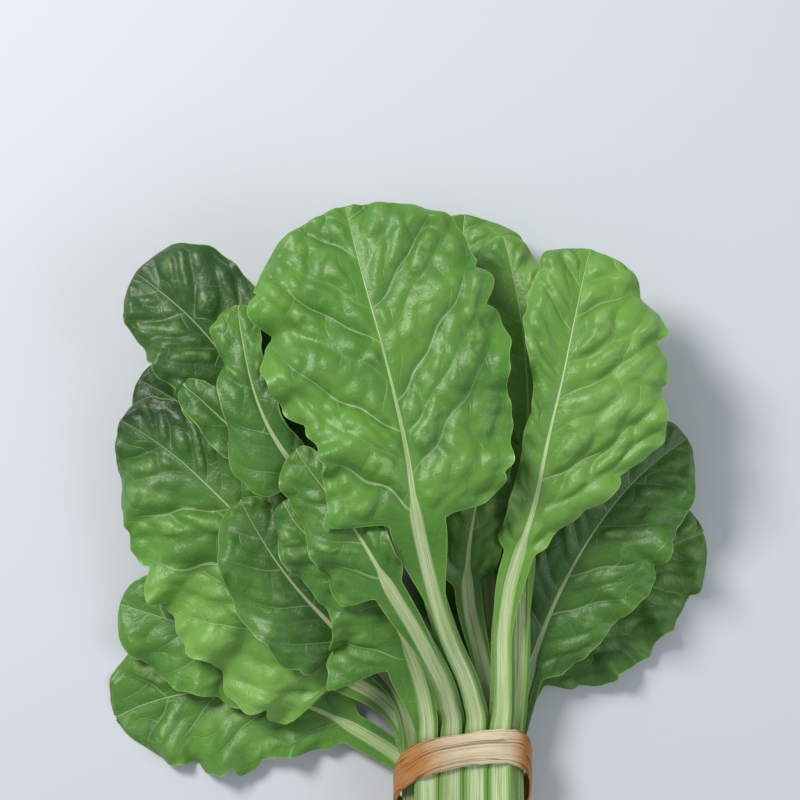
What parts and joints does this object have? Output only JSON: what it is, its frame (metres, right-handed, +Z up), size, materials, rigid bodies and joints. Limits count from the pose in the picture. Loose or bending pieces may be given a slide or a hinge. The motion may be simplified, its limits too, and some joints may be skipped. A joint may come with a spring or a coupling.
{
  "type": "swiss chard bunch",
  "caption": "Bunch of green leaf chard lying down: broad waved blades on narrow pale stems that fan out above a flat raffia tie.",
  "frame": {"origin": "middle of the bunch's outline in plan, on the surface it lies on", "axes": "+Y from the stems' cut ends towards the leaf tips, +Z up from the surface, +X to the right as seen from above"},
  "size_m": [0.3098, 0.3512, 0.0943],
  "materials": {
    "leaf": "satin",
    "tie": "satin"
  },
  "bodies": {
    "root": {"leaf_far_left": "leaf", "leaf_low_left": "leaf", "leaf_back_left": "leaf", "leaf_back": "leaf", "leaf_low_right": "leaf", "leaf_back_centre": "leaf", "leaf_broad_left": "leaf", "leaf_top_left": "leaf", "leaf_right_shade": "leaf", "leaf_right_inner": "leaf", "leaf_small_left": "leaf", "leaf_left_inner": "leaf", "leaf_curled": "leaf", "leaf_young": "leaf", "leaf_front_left": "leaf", "leaf_front_narrow": "leaf", "leaf_right": "leaf", "leaf_centre": "leaf", "tie": "tie"}
  },
  "joints": []
}
